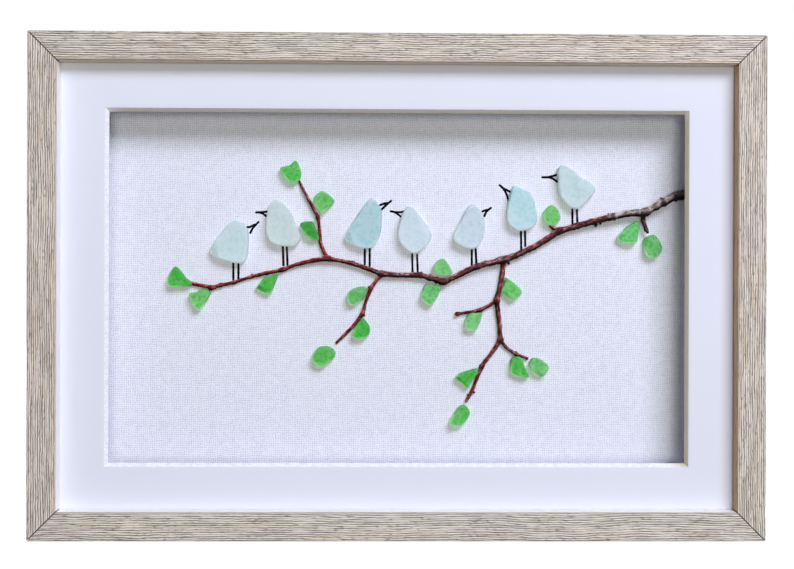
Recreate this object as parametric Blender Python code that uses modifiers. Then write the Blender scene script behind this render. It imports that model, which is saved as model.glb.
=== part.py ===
# Shadow-box picture: glass birds and leaves around a real twig, on a canvas board
# behind a bevelled mat, in a mitred wood frame.
# Metres, +Z up, front facing -Y, origin under the middle of the frame.
import math

import bmesh
import bpy
from mathutils import Matrix, Vector

MM = 0.001

# Wood frame
FRAME_W = 406.0 * MM
FRAME_H = 279.0 * MM
FACE_W = 16.0 * MM
LIP_W = 5.0 * MM
LIP_D = 8.0 * MM
BACK_SET = 3.9 * MM
ARRIS = 0.5 * MM

# Clearance between neighbouring pieces
GAP = 0.3 * MM

# Mat, with its visible borders
MAT_T = 2.0 * MM
BORDER_LEFT = 24.4 * MM
BORDER_RIGHT = 24.8 * MM
BORDER_TOP = 24.6 * MM
BORDER_BOTTOM = 23.5 * MM

# Recess and boards behind the mat
SPACER_T = 5.0 * MM
RECESS_D = 20.0 * MM
CANVAS_T = 3.0 * MM
BACK_T = 3.0 * MM

# Glass pieces
BIRD_T = 5.6 * MM
LEAF_T = 5.0 * MM
RIM_POWER = 0.35
DOME_POWER = 0.6
RIM_STEPS = 3
DOME_STEPS = 6

# Retaining tabs
TAB_W = 6.0 * MM
TAB_T = 0.6 * MM
TAB_HOLD = 9.0 * MM
TAB_SUNK = 3.0 * MM

# Sawtooth hanger and its nails
HANGER_W = 46.0 * MM
HANGER_H = 8.0 * MM
HANGER_T = 0.8 * MM
HANGER_RISE = 1.5 * MM
HANGER_PAD = 9.0 * MM
TOOTH_W = 3.0 * MM
TOOTH_LAND = 0.4 * MM
NAIL_R = 0.7 * MM
NAIL_HEAD_R = 1.8 * MM
NAIL_HEAD_T = 0.8 * MM
NAIL_L = 10.0 * MM
NAIL_SIDES = 12

# The picture is laid out in millimetres (across, up) from the window's middle,
# for a window this wide, and keeps its proportions when the window changes. Each outline
# runs anticlockwise as seen from the front.
DRAWN_W = 324.8 * MM

BIRDS = [
    [(-97, 35.5), (-106.5, 22), (-102, 17), (-90, 14), (-86, 18), (-85, 26), (-86, 34), (-92, 38)],
    [(-70, 48.5), (-74, 44.5), (-75, 34), (-72.5, 27), (-66, 24), (-58, 24.5), (-56, 31.5), (-64, 45)],
    [(-21.5, 43.5), (-29.5, 30), (-25.5, 25), (-16.5, 23), (-10.5, 29), (-9, 39), (-9.5, 45), (-15, 50)],
    [(3, 43), (0.7, 35), (1.5, 27), (7, 21), (13, 21.5), (19, 30.5), (11, 43.5), (6.5, 46.5)],
    [(37.5, 41), (32.5, 29.5), (37, 24.5), (44, 23), (48.5, 28), (50, 36), (48, 43.5), (42, 46.5)],
    [(65, 55), (63, 46), (64, 38), (70, 33.5), (77, 35), (80, 40.5), (77, 50.5), (68, 57.5)],
    [(92, 67.5), (92, 62), (93.5, 54), (99.5, 47), (105, 47), (112.7, 56), (107, 62.5), (96, 69.5)],
]

LEAVES = [
    [(-127, 11.5), (-130.7, 6), (-130, 1), (-123.5, 0.3), (-119.5, 1.9), (-122.5, 8)],
    [(-107.8, -3), (-116, -2.9), (-118.7, -5), (-114, -12.5), (-109.3, -8.5)],
    [(-68.5, 7.2), (-72.5, 6.3), (-80, 0.5), (-78.7, -2), (-73, -3.3), (-69.7, 2.5)],
    [(-58, 72), (-62, 70.2), (-66.5, 69), (-66.5, 66), (-61.5, 60.5), (-57.8, 60.3), (-55.2, 65)],
    [(-42.3, 54.8), (-47, 52.6), (-47.6, 48.8), (-45, 44.4), (-43, 43), (-38.4, 46.5), (-36.8, 50.3)],
    [(-55, 34), (-51, 29), (-46.4, 28), (-46.6, 33), (-49, 37.6), (-54.8, 37.2)],
    [(-28, -3), (-28.1, -7.8), (-25.4, -9.8), (-21.4, -7.8), (-18.3, -3.2), (-18.1, 0.2), (-23, 0.3)],
    [(-21.6, -22), (-25, -26.8), (-22, -29.2), (-16.8, -27.4), (-15.8, -22.2), (-19.4, -18.1)],
    [(-45, -34.4), (-48.3, -39.4), (-47, -43.3), (-42, -44.6), (-36, -39.6), (-36.2, -35.6), (-39.6, -33.6)],
    [(22, 14.8), (21, 10.8), (26, 7.2), (31.2, 8.8), (29, 14), (26, 16.7)],
    [(14.4, -2.6), (14, -6.2), (19.7, -9.2), (24.3, -2), (24.8, 1), (17.2, 1)],
    [(63.4, 5.6), (62, 3.2), (61.4, -2.4), (66.2, -6.4), (71, -1.6)],
    [(42.6, -15.6), (39.6, -18), (39.3, -22.4), (43.4, -24.1), (46, -23), (48.3, -17.2), (48, -14.4)],
    [(44.2, -47.4), (38.4, -47.8), (33.8, -51), (36.9, -54.6), (40.4, -57), (42.9, -53.4)],
    [(33, -71.8), (30.7, -77.5), (36, -78.9), (40, -75.6), (41.7, -71), (38, -68.2)],
    [(65.2, -43), (66.6, -49), (74.6, -50.8), (75.2, -49), (70.6, -41.2), (66, -40.4)],
    [(76.6, -43.2), (78, -47.3), (82.6, -50.4), (86.2, -48), (86.6, -44.2), (82, -40.6), (78, -40)],
    [(84, 43.6), (85, 38.4), (89.6, 36.4), (93.3, 40), (91.8, 45.5), (87.8, 47.6)],
    [(138.8, 38.2), (134, 36.8), (127, 30.4), (128.8, 26.9), (136.2, 26.3), (138.4, 31)],
    [(148, 30.3), (143.8, 28.8), (141.9, 25), (142.2, 21.4), (144.8, 18.2), (149.3, 18.6), (151.9, 23.6)],
]

# Each stem of the twig: points (across, up, thickness). A side stem starts inside its parent.
# The main stem runs on behind the mat, to a hidden end at this height and thickness.
HIDDEN_END = (56.5, 4)
STEMS = {
    "main": [
        (-117.8, 1.9, 1.4), (-106, -0.4, 1.8), (-101, 1.3, 1.7), (-93.9, 2.8, 1.7),
        (-83.4, 6.3, 1.7), (-66.2, 10.1, 2.1), (-48.2, 15.6, 2.3), (-40.1, 16.7, 2.5),
        (-25.7, 14, 2.4), (-8.9, 8.2, 2.9), (13, 7.4, 2.9), (26.5, 3.7, 3.4), (34.1, 7.1, 3.2),
        (61, 16.4, 3.7), (71.1, 20.3, 3.4), (93.4, 33.1, 3.7), (114.4, 39.2, 3.4),
        (123.3, 41.2, 3.7), (142, 44, 3.9), (152.2, 49.7, 3.9), (158.7, 53, 4),
    ],
    "upper": [
        (-40.1, 16.7, 2.2), (-44.1, 26.1, 2), (-44.9, 35.8, 1.8), (-45.4, 40.4, 1.9),
        (-50.9, 50.9, 1.6), (-55, 58.6, 1.4),
    ],
    "lower": [
        (-8.9, 8.2, 2.2), (-15.4, 0, 2.1), (-19.9, -15.1, 2.1), (-25.3, -22.9, 1.8), (-34.8, -32.4, 1.6),
    ],
    "hanging": [
        (61, 16.4, 2.9), (59.7, 3.4, 2.8), (57.3, -7.1, 2.9), (59.2, -29.6, 2.5), (54.6, -36.9, 2.3),
        (48.9, -45, 2.2), (43.3, -59.5, 1.8), (39.9, -65.4, 1.7),
    ],
    "inner": [(57.3, -7.1, 2), (48, -12.4, 1.9), (33.1, -15, 1.6)],
    "outer": [(59.2, -29.6, 2), (63.4, -34.5, 1.8), (68.3, -37.7, 1.8), (75.6, -40.6, 1.6)],
    "drop": [(140.6, 43.9, 2.5), (141.5, 37.5, 2.3), (143.2, 32.6, 2.1)],
    "stub": [(93.4, 33.1, 2.4), (90.6, 34, 2)],
}

# Sizes that follow from those above: the layers from the front lip to the back of the rails
FRAME_D = LIP_D + MAT_T + RECESS_D + CANVAS_T + BACK_T + TAB_T + 5 * GAP + BACK_SET
FRONT_Y = -(FRAME_D + GAP + HANGER_T + HANGER_RISE) / 2
MAT_Y = FRONT_Y + LIP_D + GAP
SPACER_Y = MAT_Y + MAT_T + GAP
CANVAS_Y = SPACER_Y + RECESS_D + GAP
BACK_Y = CANVAS_Y + CANVAS_T + GAP
TAB_Y = BACK_Y + BACK_T + GAP
REAR_Y = FRONT_Y + FRAME_D

MID_Z = FRAME_H / 2
HANGER_Z = FRAME_H - (FACE_W - LIP_W) / 2
RABBET_W = FRAME_W - 2 * (FACE_W - LIP_W)
RABBET_H = FRAME_H - 2 * (FACE_W - LIP_W)
BOARD_W = RABBET_W - 2 * GAP
BOARD_H = RABBET_H - 2 * GAP
WIN_LEFT = -FRAME_W / 2 + FACE_W + BORDER_LEFT
WIN_RIGHT = FRAME_W / 2 - FACE_W - BORDER_RIGHT
WIN_BOTTOM = FACE_W + BORDER_BOTTOM
WIN_TOP = FRAME_H - FACE_W - BORDER_TOP
WIN_X = (WIN_LEFT + WIN_RIGHT) / 2
WIN_Z = (WIN_BOTTOM + WIN_TOP) / 2
ART = (WIN_RIGHT - WIN_LEFT) / DRAWN_W * MM
RECESS_RIGHT = BOARD_W / 2 - SPACER_T


def clear_scene():
    for obj in list(bpy.data.objects):
        bpy.data.objects.remove(obj, do_unlink=True)


def make_collection(name):
    coll = bpy.data.collections.new(name)
    bpy.context.scene.collection.children.link(coll)
    return coll


def make_material(name, colour, roughness, metallic=0.0):
    mat = bpy.data.materials.new(name)
    mat.use_nodes = True
    shader = mat.node_tree.nodes["Principled BSDF"]
    shader.inputs["Base Color"].default_value = (*colour, 1.0)
    shader.inputs["Roughness"].default_value = roughness
    shader.inputs["Metallic"].default_value = metallic
    mat.diffuse_color = (*colour, 1.0)
    return mat


def add_object(name, mesh, coll, mat=None):
    obj = bpy.data.objects.new(name, mesh)
    coll.objects.link(obj)
    if mat:
        mesh.materials.append(mat)
    return obj


def finish_mesh(name, bm):
    mesh = bpy.data.meshes.new(name)
    bm.to_mesh(mesh)
    bm.free()
    return mesh


def box_mesh(name, size, centre):
    bm = bmesh.new()
    bmesh.ops.create_cube(bm, size=1.0, matrix=Matrix.Translation(centre) @ Matrix.Diagonal((*size, 1.0)))
    return finish_mesh(name, bm)


def add_box(name, size, centre, coll, mat=None):
    return add_object(name, box_mesh(name, size, centre), coll, mat)


def add_cutter(name, mesh):
    obj = add_object(name, mesh, cutters)
    obj.hide_render = True
    obj.display_type = "WIRE"
    return obj


def cut(obj, cutter):
    mod = obj.modifiers.new("cut " + cutter.name, "BOOLEAN")
    mod.operation = "DIFFERENCE"
    mod.object = cutter


def as_mesh(obj):
    """Mesh of a curve object with its end caps welded on; the curve is removed."""
    graph = bpy.context.evaluated_depsgraph_get()
    mesh = bpy.data.meshes.new_from_object(obj.evaluated_get(graph))
    mesh.transform(obj.matrix_world)
    bm = bmesh.new()
    bm.from_mesh(mesh)
    bmesh.ops.remove_doubles(bm, verts=bm.verts, dist=0.00001)
    bm.to_mesh(mesh)
    bm.free()
    bpy.data.objects.remove(obj, do_unlink=True)
    return mesh


def bent_strip(name, points, height, coll, mat):
    """Straight-edged outline in the horizontal plane, carried up by height."""
    curve = bpy.data.curves.new(name, "CURVE")
    curve.dimensions = "2D"
    curve.fill_mode = "BOTH"
    curve.extrude = height / 2
    spline = curve.splines.new("POLY")
    spline.points.add(len(points) - 1)
    for point, (x, y) in zip(spline.points, points):
        point.co = (x, y, 0, 1)
    spline.use_cyclic_u = True
    shape = bpy.data.objects.new(name, curve)
    coll.objects.link(shape)
    bpy.context.view_layer.update()
    return add_object(name, as_mesh(shape), coll, mat)


def turned(name, profile, steps, coll, mat):
    """Profile of (radius, height) turned about Z."""
    mesh = bpy.data.meshes.new(name)
    mesh.from_pydata([(r, 0, z) for r, z in profile], [(i, i + 1) for i in range(len(profile) - 1)], [])
    obj = add_object(name, mesh, coll, mat)
    mod = obj.modifiers.new("turn", "SCREW")
    mod.steps = steps
    mod.render_steps = steps
    mod.use_merge_vertices = True
    mod.merge_threshold = 0.00001
    return obj


# Rails: the rabbeted section runs from the outer edge inwards, and from front to back.
def rail(name, length, reach, turn, mat):
    wall = FACE_W - LIP_W
    section = [
        (ARRIS, 0), (FACE_W - ARRIS, 0), (FACE_W, ARRIS), (FACE_W, LIP_D), (wall, LIP_D), (wall, FRAME_D),
        (ARRIS, FRAME_D), (0, FRAME_D - ARRIS), (0, ARRIS),
    ]
    mitre_gap = GAP / math.sqrt(2)
    bm = bmesh.new()
    ring = [bm.verts.new((-length / 2, FRONT_Y + back, reach - inward)) for inward, back in section]
    face = bm.faces.new(ring)
    grown = bmesh.ops.extrude_face_region(bm, geom=[face])["geom"]
    far = [v for v in grown if isinstance(v, bmesh.types.BMVert)]
    bmesh.ops.translate(bm, verts=far, vec=(length, 0, 0))
    for vert in bm.verts:
        inward = reach - vert.co.z
        side = 1 if vert.co.x > 0 else -1
        vert.co.x -= side * (inward + mitre_gap)
    bmesh.ops.recalc_face_normals(bm, faces=bm.faces)
    bmesh.ops.transform(bm, verts=bm.verts, matrix=Matrix.Rotation(turn, 4, "Y"))
    bmesh.ops.translate(bm, verts=bm.verts, vec=(0, 0, MID_Z))
    return add_object(name, finish_mesh(name, bm), parts, mat)


def make_frame():
    wood = make_material("washed oak", (0.50, 0.44, 0.39), 0.6)
    rails = {
        "frame_rail_top": (FRAME_W, FRAME_H / 2, 0),
        "frame_rail_right": (FRAME_H, FRAME_W / 2, math.pi / 2),
        "frame_rail_bottom": (FRAME_W, FRAME_H / 2, math.pi),
        "frame_rail_left": (FRAME_H, FRAME_W / 2, -math.pi / 2),
    }
    return {name: rail(name, *place, wood) for name, place in rails.items()}


# Mat: a board whose window opens towards the front at 45 degrees. The cut is as wide as the
# window at the mat's face, and runs past the mat on both sides.
def make_mat():
    white = make_material("mat board", (0.86, 0.87, 0.88), 0.9)
    mat = add_box("mat", (BOARD_W, MAT_T, BOARD_H), (0, MAT_Y + MAT_T / 2, MID_Z), parts, white)
    width = WIN_RIGHT - WIN_LEFT
    height = WIN_TOP - WIN_BOTTOM
    mesh = box_mesh("window cut", (width, 3 * MAT_T, height), (0, 0, 0))
    for vert in mesh.vertices:
        flare = -vert.co.y - MAT_T / 2
        vert.co.x += flare if vert.co.x > 0 else -flare
        vert.co.z += flare if vert.co.z > 0 else -flare
    mesh.transform(Matrix.Translation((WIN_X, MAT_Y + MAT_T / 2, WIN_Z)))
    cut(mat, add_cutter("window_cut", mesh))


def make_recess():
    white = make_material("spacer board", (0.85, 0.85, 0.84), 0.9)
    mid_y = SPACER_Y + RECESS_D / 2
    for name, side in (("top", 1), ("bottom", -1)):
        centre = (0, mid_y, MID_Z + side * (BOARD_H - SPACER_T) / 2)
        add_box("spacer_" + name, (BOARD_W, RECESS_D, SPACER_T), centre, parts, white)
    side_h = BOARD_H - 2 * (SPACER_T + GAP)
    for name, side in (("left", -1), ("right", 1)):
        centre = (side * (BOARD_W - SPACER_T) / 2, mid_y, MID_Z)
        add_box("spacer_" + name, (SPACER_T, RECESS_D, side_h), centre, parts, white)
    canvas = make_material("canvas", (0.80, 0.81, 0.83), 0.85)
    add_box("canvas_board", (BOARD_W, CANVAS_T, BOARD_H), (0, CANVAS_Y + CANVAS_T / 2, MID_Z), parts, canvas)
    board = make_material("back board", (0.36, 0.25, 0.16), 0.85)
    add_box("back_board", (BOARD_W, BACK_T, BOARD_H), (0, BACK_Y + BACK_T / 2, MID_Z), parts, board)


# Glass: a worn flat pebble. A round ball is drawn out to the outline and flattened, so that
# its equator is the outline and its poles are the two faces.
def outline_at(points, turn):
    """Place on the smooth closed line through the points, turn running from 0 to 1."""
    count = len(points)
    knot, t = divmod(turn * count, 1)
    before, start, end, after = (Vector(points[(int(knot) + i) % count]) for i in (-1, 0, 1, 2))
    bend = (2 * before - 5 * start + 4 * end - after) * t * t + (3 * (start - end) + after - before) * t ** 3
    return start + ((end - before) * t + bend) / 2


def glass_piece(name, points, thick, mat):
    bm = bmesh.new()
    bmesh.ops.create_uvsphere(bm, u_segments=RIM_STEPS * len(points), v_segments=DOME_STEPS, radius=1.0)
    middle = sum((Vector(p) for p in points), Vector((0, 0))) / len(points)
    for vert in bm.verts:
        turn = math.atan2(vert.co.y, vert.co.x) / math.tau % 1
        reach = math.hypot(vert.co.x, vert.co.y) ** RIM_POWER
        rise = math.copysign(abs(vert.co.z) ** DOME_POWER, vert.co.z)
        across, up = (middle + (outline_at(points, round(turn, 6) % 1) - middle) * reach) * ART
        vert.co = (WIN_X + across, CANVAS_Y - GAP - thick / 2 - rise * thick / 2, WIN_Z + up)
    mesh = finish_mesh(name, bm)
    mesh.shade_smooth()
    return add_object(name, mesh, parts, mat)


def make_glass():
    aqua = make_material("aqua sea glass", (0.52, 0.71, 0.74), 0.45)
    green = make_material("green sea glass", (0.16, 0.50, 0.20), 0.45)
    for number, points in enumerate(BIRDS, 1):
        glass_piece(f"glass_bird_{number}", points, BIRD_T, aqua)
    for number, points in enumerate(LEAVES, 1):
        glass_piece(f"glass_leaf_{number}", points, LEAF_T, green)


# Twig: one tapering tube for each stem, its underside along the canvas, all joined into one.
def stem_mesh(name, points):
    curve = bpy.data.curves.new(name, "CURVE")
    curve.dimensions = "3D"
    curve.bevel_depth = 1.0
    curve.bevel_resolution = 2
    curve.use_fill_caps = True
    spline = curve.splines.new("POLY")
    spline.points.add(len(points) - 1)
    for point, (across, up, thick) in zip(spline.points, points):
        radius = thick / 2 * ART
        point.co = (WIN_X + across * ART, CANVAS_Y - GAP - radius, WIN_Z + up * ART, 1)
        point.radius = radius
    obj = bpy.data.objects.new(name, curve)
    cutters.objects.link(obj)
    bpy.context.view_layer.update()
    return as_mesh(obj)


def make_twig():
    bark = make_material("twig bark", (0.13, 0.05, 0.035), 0.75)
    end_across = ((WIN_RIGHT + RECESS_RIGHT) / 2 - WIN_X) / ART
    twig = None
    for name, points in STEMS.items():
        mesh = stem_mesh(name, points + [(end_across, *HIDDEN_END)] if name == "main" else points)
        if twig is None:
            twig = add_object("twig", mesh, parts, bark)
            continue
        side_stem = add_cutter("stem_" + name, mesh)
        mod = twig.modifiers.new("join " + name, "BOOLEAN")
        mod.operation = "UNION"
        mod.object = side_stem


# Retaining tabs: flat points pushed into slots in the rabbet's wall, over the back board.
def make_tabs(rails):
    steel = make_material("zinc steel", (0.55, 0.56, 0.57), 0.4, 1.0)
    length = TAB_SUNK + TAB_HOLD
    mid_y = TAB_Y + TAB_T / 2
    places = {
        "top_left": ("frame_rail_top", -FRAME_W / 4, RABBET_H / 2, 0),
        "top_right": ("frame_rail_top", FRAME_W / 4, RABBET_H / 2, 0),
        "right": ("frame_rail_right", 0, RABBET_W / 2, math.pi / 2),
        "bottom_right": ("frame_rail_bottom", -FRAME_W / 4, RABBET_H / 2, math.pi),
        "bottom_left": ("frame_rail_bottom", FRAME_W / 4, RABBET_H / 2, math.pi),
        "left": ("frame_rail_left", 0, RABBET_W / 2, -math.pi / 2),
    }
    for name, (rail_name, along, wall, turn) in places.items():
        spin = Matrix.Translation((0, 0, MID_Z)) @ Matrix.Rotation(turn, 4, "Y")
        centre = (along, mid_y, wall + TAB_SUNK - length / 2)
        tab = box_mesh("tab", (TAB_W, TAB_T, length), centre)
        tab.transform(spin)
        add_object("retaining_tab_" + name, tab, parts, steel)
        slot = box_mesh("slot", (TAB_W + 2 * GAP, TAB_T + 2 * GAP, length + 2 * GAP), centre)
        slot.transform(spin)
        cut(rails[rail_name], add_cutter("slot_" + name, slot))
    return steel


# Sawtooth hanger: a bridged strip with teeth in its lower edge, nailed at both ends.
def make_hanger(steel):
    near_y = REAR_Y + GAP
    half = HANGER_W / 2
    pad = half - HANGER_PAD
    flat = pad - HANGER_RISE
    lower = [(-half, 0), (-pad, 0), (-flat, HANGER_RISE), (flat, HANGER_RISE), (pad, 0), (half, 0)]
    upper = [(x, y + HANGER_T) for x, y in reversed(lower)]
    hanger = bent_strip("sawtooth_hanger", lower + upper, HANGER_H, parts, steel)
    hanger.location = (0, near_y, HANGER_Z)
    side = TOOTH_W / math.sqrt(2)
    through = HANGER_RISE + HANGER_T
    tooth = Matrix.Rotation(math.pi / 4, 4, "Y") @ Matrix.Diagonal((side, 2 * through, side, 1))
    pitch = TOOTH_W + TOOTH_LAND
    count = int(2 * flat / pitch)
    bm = bmesh.new()
    for i in range(count):
        x = (i - (count - 1) / 2) * pitch
        place = Matrix.Translation((x, near_y + through / 2, HANGER_Z - HANGER_H / 2))
        bmesh.ops.create_cube(bm, size=1.0, matrix=place @ tooth)
    cut(hanger, add_cutter("teeth_cut", finish_mesh("teeth cut", bm)))
    return hanger


def make_nail(name, x, hanger, top_rail, steel):
    head = HANGER_T + 2 * GAP
    top = head + NAIL_HEAD_T
    tip = top - NAIL_L
    turn = tip + NAIL_R
    profile = [(0, top), (NAIL_HEAD_R, top), (NAIL_HEAD_R, head), (NAIL_R, head), (NAIL_R, turn), (0, tip)]
    nail = turned(name, profile, NAIL_SIDES, parts, steel)
    nail.rotation_euler = (-math.pi / 2, 0, 0)
    nail.location = (x, REAR_Y, HANGER_Z)
    bm = bmesh.new()
    aim = Matrix.Translation((x, REAR_Y, HANGER_Z)) @ Matrix.Rotation(math.pi / 2, 4, "X")
    radius = NAIL_R + GAP
    depth = 2 * (GAP - tip)
    bmesh.ops.create_cone(bm, cap_ends=True, segments=NAIL_SIDES, radius1=radius, radius2=radius,
                          depth=depth, matrix=aim)
    cutter = add_cutter(name + "_hole", finish_mesh("nail hole", bm))
    cut(hanger, cutter)
    cut(top_rail, cutter)


clear_scene()
parts = make_collection("shadow box picture")
cutters = make_collection("cutters")
rails = make_frame()
make_mat()
make_recess()
make_twig()
make_glass()
steel = make_tabs(rails)
hanger = make_hanger(steel)
for nail_name, nail_side in (("hanger_nail_left", 1), ("hanger_nail_right", -1)):
    nail_x = nail_side * (HANGER_W - HANGER_PAD) / 2
    make_nail(nail_name, nail_x, hanger, rails["frame_rail_top"], steel)
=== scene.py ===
# Shadow-box picture: sea-glass birds and leaves laid round a real twig on canvas, behind a bevelled
# mat in a washed-oak frame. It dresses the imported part. Metres, +Z up, the picture faces -Y.
import math

import bpy
import numpy as np
from mathutils import Matrix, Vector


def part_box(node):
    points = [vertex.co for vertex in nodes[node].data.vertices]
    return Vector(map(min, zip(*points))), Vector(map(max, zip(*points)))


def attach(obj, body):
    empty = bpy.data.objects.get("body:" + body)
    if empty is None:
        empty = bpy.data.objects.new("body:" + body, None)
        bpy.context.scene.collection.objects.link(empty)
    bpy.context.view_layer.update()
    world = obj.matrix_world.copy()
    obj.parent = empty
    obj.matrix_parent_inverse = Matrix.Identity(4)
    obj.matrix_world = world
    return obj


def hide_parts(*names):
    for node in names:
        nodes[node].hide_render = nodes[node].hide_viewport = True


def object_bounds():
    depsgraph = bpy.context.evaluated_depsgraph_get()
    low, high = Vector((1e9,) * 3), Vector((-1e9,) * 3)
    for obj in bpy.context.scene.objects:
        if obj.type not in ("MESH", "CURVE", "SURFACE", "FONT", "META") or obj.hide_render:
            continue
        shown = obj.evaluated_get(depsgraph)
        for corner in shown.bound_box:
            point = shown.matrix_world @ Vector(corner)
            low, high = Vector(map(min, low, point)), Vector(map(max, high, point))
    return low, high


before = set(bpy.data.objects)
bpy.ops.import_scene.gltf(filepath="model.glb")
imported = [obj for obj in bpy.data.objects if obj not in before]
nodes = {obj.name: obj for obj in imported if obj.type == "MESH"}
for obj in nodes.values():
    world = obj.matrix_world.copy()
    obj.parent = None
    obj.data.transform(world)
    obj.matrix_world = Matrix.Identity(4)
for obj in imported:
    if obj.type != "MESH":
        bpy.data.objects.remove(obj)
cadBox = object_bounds()
mm = 0.001
print("loaded the packed part:", len(nodes), "nodes")

# Where the picture sits, in millimetres: the window's middle (across, up), its left, right, bottom and
# top edges at the mat's face, and how far back the canvas's face lies.
layout = {"windowMiddle": (-0.2, 138.95), "window": (-162.6, 162.2, 39.5, 238.4), "canvasFace": 8.6}


def eased(t):
    return t * t * (3 - 2 * t)


def bearingArms(degrees):
    return np.array([math.cos(math.radians(degrees)), math.sin(math.radians(degrees))])


# Smooth cloud of values from 0 to 1: random heights at whole-number places, eased in between.
def cloudValues(u, v, seed):
    size = 64
    table = np.random.default_rng(seed).random((size, size))
    cellU, cellV = np.floor(u).astype(int), np.floor(v).astype(int)
    partU, partV = eased(u - cellU), eased(v - cellV)
    near, far = (table[cellU % size, row % size] * (1 - partU) + table[(cellU + 1) % size, row % size] * partU
                 for row in (cellV, cellV + 1))
    return near * (1 - partV) + far * partV


# Smooth cubic from b (t = 0) to c (t = 1) with a before and d after them:
# (2b + (c-a)t + (2a-5b+4c-d)t^2 + (3b-a-3c+d)t^3) / 2.
def curveBetween(a, b, c, d, t):
    return (2 * b + (c - a) * t + (2 * a - 5 * b + 4 * c - d) * t ** 2 + (3 * b - a - 3 * c + d) * t ** 3) / 2


def lengthWalked(line):
    return np.concatenate([[0], np.cumsum(np.linalg.norm(np.diff(line, axis=0), axis=1))])


# Quads over a grid of points numbered row by row; the last column joins the first.
def ringQuads(rows, columns):
    row = np.arange(rows - 1)[:, None] * columns
    column = np.arange(columns)[None, :]
    following = (column + 1) % columns
    corners = [row + column, row + following, row + columns + following, row + columns + column]
    return np.stack(corners, axis=-1).reshape(-1, 4)


# A closed skin of rings: quads between them, and fans of triangles to two points numbered after them.
def skinFaces(rows, columns):
    count = rows * columns
    column = np.arange(columns)
    following = (column + 1) % columns
    firstFan = np.stack([following, column, column * 0 + count], axis=-1)
    lastRing = count - columns
    lastFan = np.stack([lastRing + column, lastRing + following, column * 0 + count + 1], axis=-1)
    return [ringQuads(rows, columns), firstFan, lastFan]


# Six times the room inside a closed skin: the sum over faces, cut into fans, of a . (b x c).
def signedRoom(points, faces):
    total = 0.0
    for group in faces:
        corners = points[np.asarray(group)]
        for i in range(1, corners.shape[1] - 1):
            total += np.einsum("ij,ij->i", corners[:, 0], np.cross(corners[:, i], corners[:, i + 1])).sum()
    return total


# Makes a mesh piece of point and face arrays, turned outwards, with its own values per point.
def makePiece(name, points, faces, material, standsFor=(), values=None, sharpAngle=40):
    if signedRoom(points, faces) < 0:
        faces = [np.asarray(group)[:, ::-1] for group in faces]
    mesh = bpy.data.meshes.new(name)
    mesh.from_pydata(points.tolist(), [], [face for group in faces for face in np.asarray(group).tolist()])
    for key, data in (values or {}).items():
        data = np.asarray(data, np.float32)
        kind, field = ("FLOAT", "value") if data.ndim == 1 else ("FLOAT_VECTOR", "vector")
        mesh.attributes.new(key, kind, "POINT").data.foreach_set(field, data.ravel())
    mesh.shade_smooth()
    mesh.set_sharp_from_angle(angle=math.radians(sharpAngle))
    mesh.materials.append(material)
    mesh.validate()
    piece = bpy.data.objects.new(name, mesh)
    bpy.context.scene.collection.objects.link(piece)
    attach(piece, "root")
    if standsFor:
        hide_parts(*standsFor)


# Wires a socket to another one's output, or sets it to a plain value.
def feed(socket, value):
    if isinstance(value, bpy.types.NodeSocket):
        socket.id_data.links.new(value, socket)
    elif isinstance(value, tuple) and len(value) == 3 and socket.type == "RGBA":
        socket.default_value = (*value, 1.0)
    else:
        socket.default_value = value


# A node in the tree that its wired values come from, set up and with some of its sockets filled.
def addNode(kind, filled, **settings):
    tree = next(value.id_data for value in filled.values() if isinstance(value, bpy.types.NodeSocket))
    node = tree.nodes.new(kind)
    for key, value in settings.items():
        setattr(node, key, value)
    for socket, value in filled.items():
        feed(node.inputs[socket], value)
    return node.outputs


# A value that the piece's own points carry, in the tree of the place it is used with.
def ownValue(place, key, output="Fac"):
    node = place.id_data.nodes.new("ShaderNodeAttribute")
    node.attribute_name = key
    return node.outputs[output]


# A cloudy value at a place that is drawn out evenly by one scale, or by three.
def cloud(place, scale, detail, roughness=0.55, distortion=0.0):
    if isinstance(scale, tuple):
        place = addNode("ShaderNodeMapping", {"Vector": place, "Scale": scale})[0]
        scale = 1.0
    filled = {"Vector": place, "Scale": scale, "Detail": detail, "Roughness": roughness}
    return addNode("ShaderNodeTexNoise", {**filled, "Distortion": distortion})[0]


def calc(operation, *values):
    return addNode("ShaderNodeMath", dict(enumerate(values)), operation=operation)[0]


def times(value, factor):
    return calc("MULTIPLY", value, factor)


def spread(value, low, high, toLow=0.0, toHigh=1.0):
    filled = dict(enumerate((value, low, high, toLow, toHigh)))
    return addNode("ShaderNodeMapRange", filled, interpolation_type="SMOOTHSTEP")[0]


def tinted(amount, first, second, way="MIX"):
    return addNode("ShaderNodeMix", {0: amount, 6: first, 7: second}, data_type="RGBA", blend_type=way)[2]


# Lays tones over a colour, each where its value goes from low to high, and as strongly as it says.
def layered(colour, *layers):
    for value, low, high, strength, tone in layers:
        colour = tinted(spread(value, low, high, 0.0, strength), colour, tone)
    return colour


# An empty material and the place that its patterns read: on the object, or a value of the points' own.
def startMaterial(name, ownPlace=None):
    material = bpy.data.materials.new(name)
    material.use_nodes = True
    tree = material.node_tree
    tree.nodes.clear()
    if ownPlace:
        return material, ownValue(tree, ownPlace, "Vector")
    return material, tree.nodes.new("ShaderNodeTexCoord").outputs["Object"]


# Gives a material its shader, with a colour, a roughness, a relief of a depth in metres, and more by name.
def endMaterial(material, colour, roughness, height, depth, more=None):
    filled = {"Base Color": colour, "Roughness": roughness, **(more or {})}
    if depth:
        filled["Normal"] = addNode("ShaderNodeBump", {"Distance": depth, "Height": height})[0]
    addNode("ShaderNodeOutputMaterial", {0: addNode("ShaderNodeBsdfPrincipled", filled)[0]})
    return material


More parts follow.
